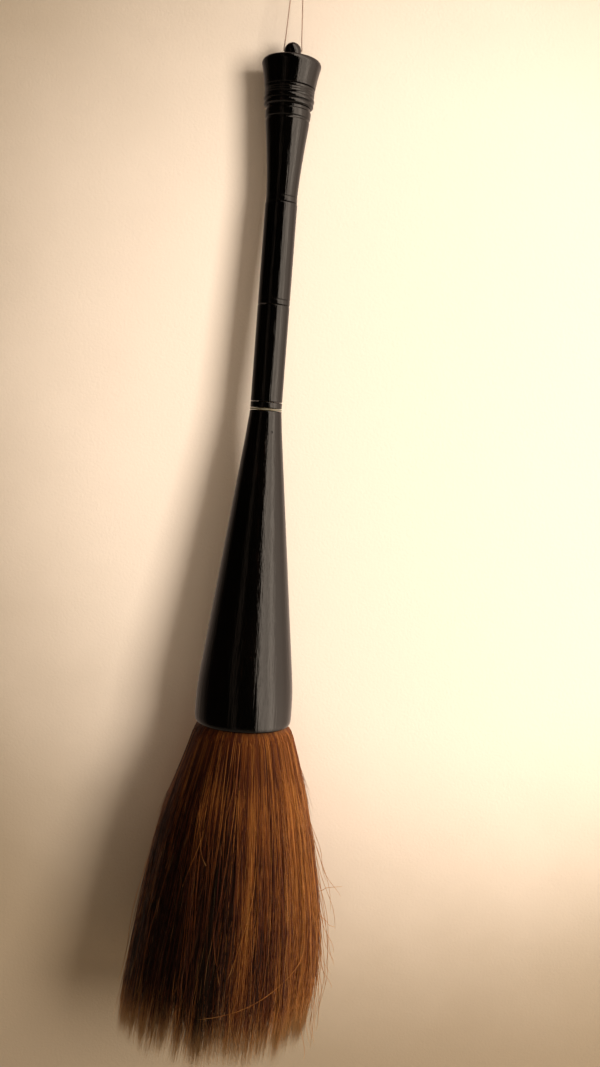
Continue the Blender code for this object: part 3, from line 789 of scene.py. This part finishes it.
class Graph:
    """A node tree, built by short calls: a new material's, or the one it is given."""

    def __init__(self, name, tree=None):
        if tree is None:
            self.material = bpy.data.materials.new(name)
            self.material.use_nodes = True
            tree = self.material.node_tree
        self.tree = tree
        self.shader = tree.nodes.get("Principled BSDF")
        places = self.node("ShaderNodeTexCoord").outputs
        self.place = places["Object"]
        self.direction = places["Generated"]

    def node(self, kind, settings=None, inputs=None):
        made = self.tree.nodes.new(kind)
        for key, value in (settings or {}).items():
            setattr(made, key, value)
        for key, value in (inputs or {}).items():
            self.feed(made.inputs[key], value)
        return made

    def feed(self, socket, value):
        if isinstance(value, bpy.types.NodeSocket):
            self.tree.links.new(value, socket)
        else:
            socket.default_value = value

    def set(self, **inputs):
        for key, value in inputs.items():
            self.feed(self.shader.inputs[key.replace("_", " ")], value)

    def scaled(self, scale):
        return self.node("ShaderNodeMapping", None, {"Vector": self.place, "Scale": scale}).outputs[0]

    def noise(self, scale, detail=3, roughness=0.5, size=1):
        inputs = {"Vector": self.scaled(scale), "Scale": size, "Detail": detail, "Roughness": roughness}
        return self.node("ShaderNodeTexNoise", None, inputs).outputs["Fac"]

    def attribute(self, name):
        return self.node("ShaderNodeAttribute", {"attribute_name": name}).outputs["Fac"]

    def ramp(self, value, *stops):
        made = self.node("ShaderNodeValToRGB", None, {"Fac": value})
        elements = made.color_ramp.elements
        while len(elements) < len(stops):
            elements.new(0.5)
        for element, (position, colour) in zip(elements, stops):
            element.position = position
            element.color = (*colour, 1)
        return made.outputs["Color"]

    def mix(self, share, first, second):
        made = self.node("ShaderNodeMix", {"data_type": "RGBA"})
        self.feed(made.inputs["Factor"], share)
        self.feed(made.inputs["A"], first)
        self.feed(made.inputs["B"], second)
        return made.outputs["Result"]

    def range(self, value, low, high, to_low, to_high):
        inputs = {"Value": value, "From Min": low, "From Max": high}
        inputs.update({"To Min": to_low, "To Max": to_high})
        return self.node("ShaderNodeMapRange", None, inputs).outputs["Result"]

    def maths(self, operation, first, second=0):
        made = self.node("ShaderNodeMath", {"operation": operation})
        self.feed(made.inputs[0], first)
        self.feed(made.inputs[1], second)
        return made.outputs[0]

    def vector(self, operation, first, second=(0, 0, 0)):
        made = self.node("ShaderNodeVectorMath", {"operation": operation}, {0: first, 1: second})
        return made.outputs["Vector"]

    def finish(self, share, other):
        """Mixes a share of another shader over the main one."""
        inputs = {"Fac": share, 1: self.shader.outputs[0], 2: other}
        mixed = self.node("ShaderNodeMixShader", None, inputs)
        self.feed(self.tree.nodes["Material Output"].inputs["Surface"], mixed.outputs[0])

    def bump(self, height, distance, strength=1, normal=None):
        inputs = {"Height": height, "Distance": distance, "Strength": strength}
        if normal is not None:
            inputs["Normal"] = normal
        return self.node("ShaderNodeBump", None, inputs).outputs["Normal"]


def horn_material():
    """Polished black horn: lengthwise brown streaks, faint scrape marks and a few pores."""
    graph = Graph("polished_black_horn")
    streaks = graph.noise((420, 420, 9), 5, 0.6)
    clouds = graph.noise((40, 40, 14), 3, 0.5)
    cloudy = graph.range(clouds, 0.35, 0.7, 0, 1)
    dark = graph.mix(cloudy, (0.0010, 0.0010, 0.0008, 1), (0.0030, 0.0020, 0.0016, 1))
    colour = graph.mix(graph.range(streaks, 0.58, 0.8, 0, 0.8), dark, (0.012, 0.0055, 0.0035, 1))
    smears = graph.noise((90, 90, 30), 4, 0.6)
    scrapes = graph.noise((650, 650, 7), 4, 0.6)
    turning = graph.noise((6, 6, 2600), 2, 0.5)
    rough = graph.range(smears, 0.3, 0.7, 0.02, 0.06)
    rough = graph.maths("ADD", rough, graph.range(scrapes, 0.5, 0.8, 0, 0.05))
    normal = graph.bump(scrapes, 0.16 * MM)
    normal = graph.bump(turning, 0.004 * MM, 0.6, normal)
    graph.set(Base_Color=colour, Roughness=rough, IOR=1.55, Normal=normal)
    return graph.material


def bone_material():
    graph = Graph("polished_bone")
    grain = graph.noise((900, 900, 120), 4, 0.6)
    clouds = graph.noise((120, 120, 200), 3, 0.5)
    pale = (0.46, 0.40, 0.30)
    colour = graph.ramp(grain, (0.3, (0.22, 0.17, 0.11)), (0.55, (0.36, 0.30, 0.21)), (0.8, pale))
    colour = graph.mix(graph.range(clouds, 0.45, 0.75, 0, 0.5), colour, (0.20, 0.14, 0.08, 1))
    rough = graph.range(grain, 0.3, 0.7, 0.28, 0.45)
    graph.set(Base_Color=colour, Roughness=rough, Subsurface_Weight=0.15)
    graph.set(Normal=graph.bump(grain, 0.02 * MM))
    return graph.material


def cord_material():
    graph = Graph("twisted_cord")
    fibres = graph.noise((3000, 3000, 900), 4, 0.7)
    patches = graph.noise((200, 200, 160), 2, 0.5)
    pale = (0.82, 0.62, 0.51)
    colour = graph.ramp(fibres, (0.3, (0.50, 0.30, 0.22)), (0.6, (0.72, 0.49, 0.38)), (0.85, pale))
    colour = graph.mix(graph.range(patches, 0.4, 0.8, 0, 0.5), colour, (0.52, 0.31, 0.23, 1))
    graph.set(Base_Color=colour, Roughness=0.75, Normal=graph.bump(fibres, 0.05 * MM), Sheen_Weight=0.3)
    return graph.material


def hair_colour(graph, tone):
    """Hair colours from nearly black through reddish brown to pale golden brown."""
    return graph.ramp(
        tone,
        (0, (0.004, 0.0010, 0.0005)),
        (0.25, (0.018, 0.0032, 0.0024)),
        (0.5, (0.086, 0.0162, 0.0095)),
        (0.75, (0.250, 0.067, 0.0120)),
        (1, (0.55, 0.205, 0.045)),
    )


def hair_material():
    """Reddish-brown animal hair: each hair has its own tone, with painted light and shade in it.
    It is paler towards its tip, partly its own colour and partly painted light through the thin
    tips, and it has painted shade at its root.

    Light falls on it partly as on the tuft's own round surface, which keeps fine hairs soft.
    """
    graph = Graph("reddish_brown_hair")
    outwards = graph.vector("NORMALIZE", graph.vector("MULTIPLY", graph.place, (1, 1, 0)))
    outwards = graph.vector("MULTIPLY", outwards, (TUFT_SHADING,) * 3)
    own = graph.node("ShaderNodeNewGeometry").outputs["Normal"]
    normal = graph.vector("NORMALIZE", graph.vector("ADD", outwards, own))
    tone = graph.attribute("tone")
    along = graph.attribute("along")
    patches = graph.noise((60, 60, 22), 3, 0.5)
    value = graph.maths("ADD", tone, graph.range(patches, 0.3, 0.7, -0.07, 0.07))
    # Paler towards the tip, here and in the golden tip mix below: partly the hair's own colour and
    # partly painted light through the thin tips.
    value = graph.maths("ADD", value, graph.range(along, 0.83, 0.99, 0, 0.52))
    colour = hair_colour(graph, value)
    fleck = graph.noise((500, 500, 90), 3, 0.6)
    colour = graph.mix(graph.range(fleck, 0.55, 0.85, 0, 0.4), colour, (0.030, 0.008, 0.003, 1))
    colour = graph.mix(graph.range(along, 0.88, 0.99, 0, 0.85), colour, (0.74, 0.42, 0.16, 1))
    # Painted shade on the hairs where they enter the ferrule's mouth.
    root = graph.range(along, 0.010, 0.035, 0.85, 0)
    colour = graph.mix(root, colour, (0.010, 0.004, 0.002, 1))
    graph.set(Base_Color=colour, Roughness=graph.range(fleck, 0.3, 0.7, 0.34, 0.5), IOR=1.5)
    graph.set(Specular_IOR_Level=0.38, Specular_Tint=(1, 0.80, 0.56, 1), Normal=normal)
    return graph.material


def packed_hair_material(name, tone=None):
    """The shaded hair seen between the coat's hairs. Without a tone it follows the piece's own."""
    graph = Graph(name)
    lines = graph.noise((900, 900, 14), 4, 0.65)
    broad = graph.noise((140, 140, 8), 3, 0.5)
    tone = graph.attribute("tone") if tone is None else tone
    value = graph.maths("ADD", tone, graph.range(lines, 0.3, 0.7, -0.16, 0.06))
    value = graph.maths("ADD", value, graph.range(broad, 0.3, 0.7, -0.06, 0.06))
    graph.set(Base_Color=hair_colour(graph, value), Roughness=0.5, Specular_IOR_Level=0.2)
    graph.set(Normal=graph.bump(lines, 0.3 * MM))
    return graph.material


def bamboo_material():
    graph = Graph("split_bamboo")
    fibres = graph.noise((1100, 1100, 22), 4, 0.6)
    pale = (0.62, 0.46, 0.25)
    colour = graph.ramp(fibres, (0.3, (0.30, 0.18, 0.075)), (0.6, (0.50, 0.34, 0.16)), (0.8, pale))
    graph.set(Base_Color=colour, Roughness=0.6, Normal=graph.bump(fibres, 0.06 * MM))
    return graph.material


def resin_material():
    graph = Graph("brown_resin")
    clouds = graph.noise((260, 260, 260), 4, 0.6)
    pale = (0.42, 0.240, 0.090)
    colour = graph.ramp(clouds, (0.3, (0.14, 0.060, 0.016)), (0.6, (0.30, 0.150, 0.050)), (0.8, pale))
    graph.set(Base_Color=colour, Roughness=graph.range(clouds, 0.3, 0.7, 0.22, 0.42))
    graph.set(Normal=graph.bump(clouds, 0.15 * MM))
    return graph.material


def thread_material():
    graph = Graph("waxed_thread")
    fibres = graph.noise((1500, 1500, 2200), 4, 0.7)
    pale = (0.70, 0.62, 0.48)
    colour = graph.ramp(fibres, (0.3, (0.36, 0.29, 0.18)), (0.6, (0.58, 0.50, 0.36)), (0.8, pale))
    graph.set(Base_Color=colour, Roughness=0.7, Normal=graph.bump(fibres, 0.08 * MM))
    return graph.material


def paint_node(node, material):
    """Gives a carried CAD node a material."""
    for slot in frame["nodes"][node].material_slots:
        slot.material = material


# --- Stage ---

FLOOR_Z = -0.78
FLOOR_HALF_WIDTH = 40.0
WALL_Y = 0.070  # the wall behind the tips of the hair; the brush leans on it
WALL_LEAN = 0.085  # how much nearer it comes for each metre up
WALL_HEIGHTS = (FLOOR_Z, 1.2)
WALL_HALF_WIDTH = 2.0
# Light painted on the wall: a pale pool of painted light right of the brush, shaded beyond it.
WALL_PAINTED_LIGHT = (0.89, 0.73, 0.585, 1)
WALL_SHADED = (0.335, 0.250, 0.163, 1)
LIGHT_POOL_X = 0.13
LIGHT_POOL_Z = -0.275
LIGHT_POOL_WIDTH = 0.36
LIGHT_POOL_HEIGHT = 0.37
LIGHT_POOL_INNER = 0.5  # the painted pool of light is palest within this share of its size
LIGHT_POOL_OUTER = 1.25  # and the wall is fully shaded beyond this one
WALL_VIEW = 0.45  # the wall shows to rays within this slope of straight ahead
# What polished surfaces reflect: azimuth in degrees from -Y to +X, and brightness.
BANDS = (
    (-180, 0.060), (-140, 0.065), (-118, 0.035), (-107, 0.014), (-101, 0.002), (-30, 0.001),
    (-28, 0.065), (-24.5, 0.065), (-23, 0.001), (33.5, 0.002), (34.5, 1.05), (37, 1.05),
    (38, 0.60), (43, 0.66), (52, 0.60), (53, 0.32), (55, 0.32), (56.5, 0.60),
    (62, 0.64), (64, 0.88), (72, 0.88), (75, 0.44), (100, 0.31), (118, 0.17),
    (140, 0.19), (160, 0.20), (180, 0.060),
)
BAND_TILT = 0.4  # the bands lean: their azimuth drops by this much per degree upwards
LOW_START = -0.45  # below this height on the unit sphere they give way to an even glow
LOW_END = -0.85
LOW_GLOW = (0.20, 0.155, 0.115, 1)
FILL_COLOUR = (0.055, 0.040, 0.027, 1)
BACKGROUND_COLOUR = (0.77, 0.695, 0.575, 1)
DIM_TINT = (1, 0.72, 0.55)
BRIGHT_TINT = (1, 0.83, 0.67)
BRIGHT_BAND = 0.6  # bands this bright or brighter have the bright tint
BAND_STRENGTH = 4.0

# Lights: name, place, width, height, watts, colour, and whether they light only the backdrops
# (INCLUDE) or only everything else (EXCLUDE).
WINDOW = (1, 0.92, 0.82)
WALL_LIGHT = (1, 0.97, 0.92)
LIGHTS = (
    ("brush_key", (1.10, -0.70, -0.05), 1, 1.3, 15, WINDOW, "EXCLUDE"),
    ("wall_key", (0.70, -1.09, -0.20), 0.45, 0.58, 21, WALL_LIGHT, "INCLUDE"),
    ("wall_fill", (0.35, -1.30, -0.30), 1.2, 1.2, 3.5, WALL_LIGHT, "INCLUDE"),
    ("back_light", (0.15, 1.25, -0.10), 1, 1.3, 8, WINDOW, "EXCLUDE"),
)
LIGHT_AIM = (0, 0, -0.35)

CAMERA_PLACE = (0.0263, -0.683, -0.2844)
CAMERA_PITCH = math.radians(4.98)
CAMERA_ROLL = math.radians(4.49)
CAMERA_LENS = 38.13
CAMERA_SENSOR = 36.0


def backdrop(name, corners, material):
    mesh = bpy.data.meshes.new(name)
    mesh.from_pydata(corners, [], [(0, 1, 2, 3)])
    mesh.materials.append(material)
    made = new_object(name, mesh)
    made.visible_glossy = False
    return made


def wall_material():
    """Plain plaster with painted light: palest in a soft round pool right of the brush, shaded round
    it.
    """
    graph = Graph("wall_plaster_painted_light")
    parts = graph.node("ShaderNodeSeparateXYZ", None, {"Vector": graph.place}).outputs
    across = graph.maths("DIVIDE", graph.maths("SUBTRACT", parts["X"], LIGHT_POOL_X), LIGHT_POOL_WIDTH)
    along = graph.maths("DIVIDE", graph.maths("SUBTRACT", parts["Z"], LIGHT_POOL_Z), LIGHT_POOL_HEIGHT)
    across_square = graph.maths("MULTIPLY", across, across)
    squares = graph.maths("ADD", across_square, graph.maths("MULTIPLY", along, along))
    mottle = graph.noise((9, 9, 9), 4, 0.55)
    out = graph.maths("ADD", graph.maths("SQRT", squares), graph.range(mottle, 0.3, 0.7, -0.03, 0.03))
    limits = {"Value": out, "From Min": LIGHT_POOL_INNER, "From Max": LIGHT_POOL_OUTER}
    smooth = graph.node("ShaderNodeMapRange", {"interpolation_type": "SMOOTHSTEP"}, limits)
    # Painted light inside the pool, painted shade outside it.
    colour = graph.mix(smooth.outputs["Result"], WALL_PAINTED_LIGHT, WALL_SHADED)
    grain = graph.noise((600, 600, 600), 3, 0.5)
    graph.set(Base_Color=colour, Roughness=0.9, Normal=graph.bump(grain, 0.2 * MM))
    seen_from_ahead_only(graph)
    return graph.material


def seen_from_ahead_only(graph):
    """Lets the camera look through a surface unless it looks nearly straight at its front."""
    incoming = graph.node("ShaderNodeNewGeometry").outputs["Incoming"]
    parts = graph.node("ShaderNodeSeparateXYZ", None, {"Vector": incoming}).outputs
    ahead = graph.maths("MULTIPLY", parts["Y"], -1)
    slope = graph.maths("DIVIDE", graph.maths("ABSOLUTE", parts["X"]), ahead)
    aside = graph.maths("GREATER_THAN", slope, WALL_VIEW)
    behind = graph.maths("GREATER_THAN", parts["Y"], 0)
    hidden = graph.maths("MAXIMUM", aside, behind)
    camera = graph.node("ShaderNodeLightPath").outputs["Is Camera Ray"]
    clear = graph.node("ShaderNodeBsdfTransparent").outputs[0]
    graph.finish(graph.maths("MULTIPLY", hidden, camera), clear)


def floor_material():
    """A pale matt floor that the camera sees evenly lit, even where the wall keeps light off it."""
    graph = Graph("floor_plaster")
    mottle = graph.noise((4, 4, 4), 4, 0.5)
    colour = graph.ramp(mottle, (0.3, (0.73, 0.655, 0.54)), (0.7, (0.76, 0.685, 0.565)))
    graph.set(Base_Color=colour, Roughness=0.9)
    even = graph.node("ShaderNodeEmission", None, {"Color": colour, "Strength": 1.0}).outputs[0]
    camera = graph.node("ShaderNodeLightPath").outputs["Is Camera Ray"]
    graph.finish(camera, even)
    return graph.material


def build_stage():
    low, high = ((WALL_Y - WALL_LEAN * (z - cad_box[0].z), z) for z in WALL_HEIGHTS)
    wide = WALL_HALF_WIDTH
    wall_corners = [(-wide, *low), (wide, *low), (wide, *high), (-wide, *high)]
    wall = backdrop("wall", wall_corners, wall_material())
    signs = ((-1, -1), (1, -1), (1, 1), (-1, 1))
    floor_corners = [(x * FLOOR_HALF_WIDTH, y * FLOOR_HALF_WIDTH, FLOOR_Z) for x, y in signs]
    floor = backdrop("floor", floor_corners, floor_material())
    return wall, floor


def build_world():
    """Low warm fill for matt surfaces, and upright soft bands for polished ones to reflect."""
    world = bpy.data.worlds.new("studio")
    world.use_nodes = True
    world.cycles.sampling_method = "NONE"
    bpy.context.scene.world = world
    graph = Graph("studio", world.node_tree)
    parts = graph.node("ShaderNodeSeparateXYZ", None, {"Vector": graph.direction}).outputs
    azimuth = graph.maths("ARCTAN2", parts["X"], graph.maths("MULTIPLY", parts["Y"], -1))
    height = graph.maths("ARCSINE", parts["Z"])
    leaning = graph.maths("ADD", azimuth, graph.maths("MULTIPLY", height, BAND_TILT))
    turn = graph.range(leaning, -math.pi, math.pi, 0, 1)
    stops = []
    for degrees, brightness in BANDS:
        tint = Vector(DIM_TINT).lerp(Vector(BRIGHT_TINT), min(1, brightness / BRIGHT_BAND))
        stops.append(((degrees + 180) / 360, tint * brightness))
    bands = graph.vector("MULTIPLY", graph.ramp(turn, *stops), (BAND_STRENGTH,) * 3)
    low = graph.range(parts["Z"], LOW_START, LOW_END, 0, 1)
    reflected = graph.mix(low, bands, LOW_GLOW)
    path = graph.node("ShaderNodeLightPath").outputs
    colour = graph.mix(path["Is Glossy Ray"], FILL_COLOUR, reflected)
    colour = graph.mix(path["Is Camera Ray"], colour, BACKGROUND_COLOUR)
    graph.feed(graph.tree.nodes["Background"].inputs["Color"], colour)


def soft_light(name, place, width, height, power, colour):
    light = bpy.data.lights.new(name, "AREA")
    light.shape = "RECTANGLE"
    light.size = width
    light.size_y = height
    light.energy = power
    light.color = colour
    made = new_object(name, light)
    made.location = place
    made.rotation_euler = (Vector(LIGHT_AIM) - Vector(place)).to_track_quat("-Z", "Y").to_euler()
    made.visible_glossy = False
    return made


def link_light(light, objects, state):
    """Makes a light reach only these objects, or every other object, as the state says."""
    receivers = bpy.data.collections.new(f"{light.name}_receivers")
    for receiver in objects:
        receivers.objects.link(receiver)
    for entry in receivers.collection_objects:
        entry.light_linking.link_state = state
    light.light_linking.receiver_collection = receivers


def light_stage(backdrops):
    """Lights for the brush and others for the backdrops. The wall doesn't stop the back light."""
    for name, place, width, height, power, colour, state in LIGHTS:
        light = soft_light(name, place, width, height, power, colour)
        link_light(light, backdrops, state)
        if name == "back_light":
            light.light_linking.blocker_collection = light.light_linking.receiver_collection


def build_camera():
    """The camera stands in front, a little to the right, tilted down and rolled."""
    up = Vector((0, math.sin(CAMERA_PITCH), math.cos(CAMERA_PITCH)))
    right = Vector((math.cos(CAMERA_ROLL), 0, 0)) + up * math.sin(CAMERA_ROLL)
    over = up * math.cos(CAMERA_ROLL) - Vector((math.sin(CAMERA_ROLL), 0, 0))
    back = right.cross(over)
    data = bpy.data.cameras.new("camera")
    data.sensor_width = CAMERA_SENSOR
    data.lens = CAMERA_LENS
    camera = new_object("camera", data)
    turn = Matrix((right, over, back)).transposed().to_4x4()
    camera.matrix_world = Matrix.Translation(CAMERA_PLACE) @ turn
    bpy.context.scene.camera = camera


def build():
    horn = horn_material()
    for node in PLAIN_HORN:
        turned_piece(node, f"{node}_horn", horn)
    ferrule = turned_piece("ferrule", "ferrule_horn", horn)
    facing = Matrix.Rotation(PIT_ANGLE, 4, "Z") @ Matrix.Rotation(math.pi / 2, 4, "X")
    # The cone's middle lies on the surface, so half of its length and width make the pit.
    pit_place = (PIT_OUT * math.sin(PIT_ANGLE), -PIT_OUT * math.cos(PIT_ANGLE), PIT_Z)
    drill(ferrule, 0, 2 * PIT_RADIUS, 2 * PIT_DEPTH, pit_place, facing)
    knob = turned_piece("hanging_knob", "knob_horn", horn)
    across = Matrix.Rotation(math.pi / 2, 4, "Y")
    drill(knob, CROSS_HOLE_RADIUS, CROSS_HOLE_RADIUS, CROSS_HOLE_LENGTH, (0, 0, HOLE_Z), across)
    turned_piece("bone_ring", "ring_bone", bone_material())
    hanging_cord(cord_material())

    hair = hair_material()
    loose_tuft(hair)
    stray_hairs(hair)
    hair_mass(packed_hair_material("packed_hair"))

    bamboo = bamboo_material()
    for node in ("upper_dowel", "middle_dowel", "ferrule_dowel"):
        paint_node(node, bamboo)
    paint_node("root_resin", resin_material())
    paint_node("root_binding", thread_material())
    paint_node("hair_root", packed_hair_material("packed_root_hair", 0.55))

    light_stage(build_stage())
    build_world()
    build_camera()
    bpy.context.scene.view_settings.view_transform = "Standard"


build()
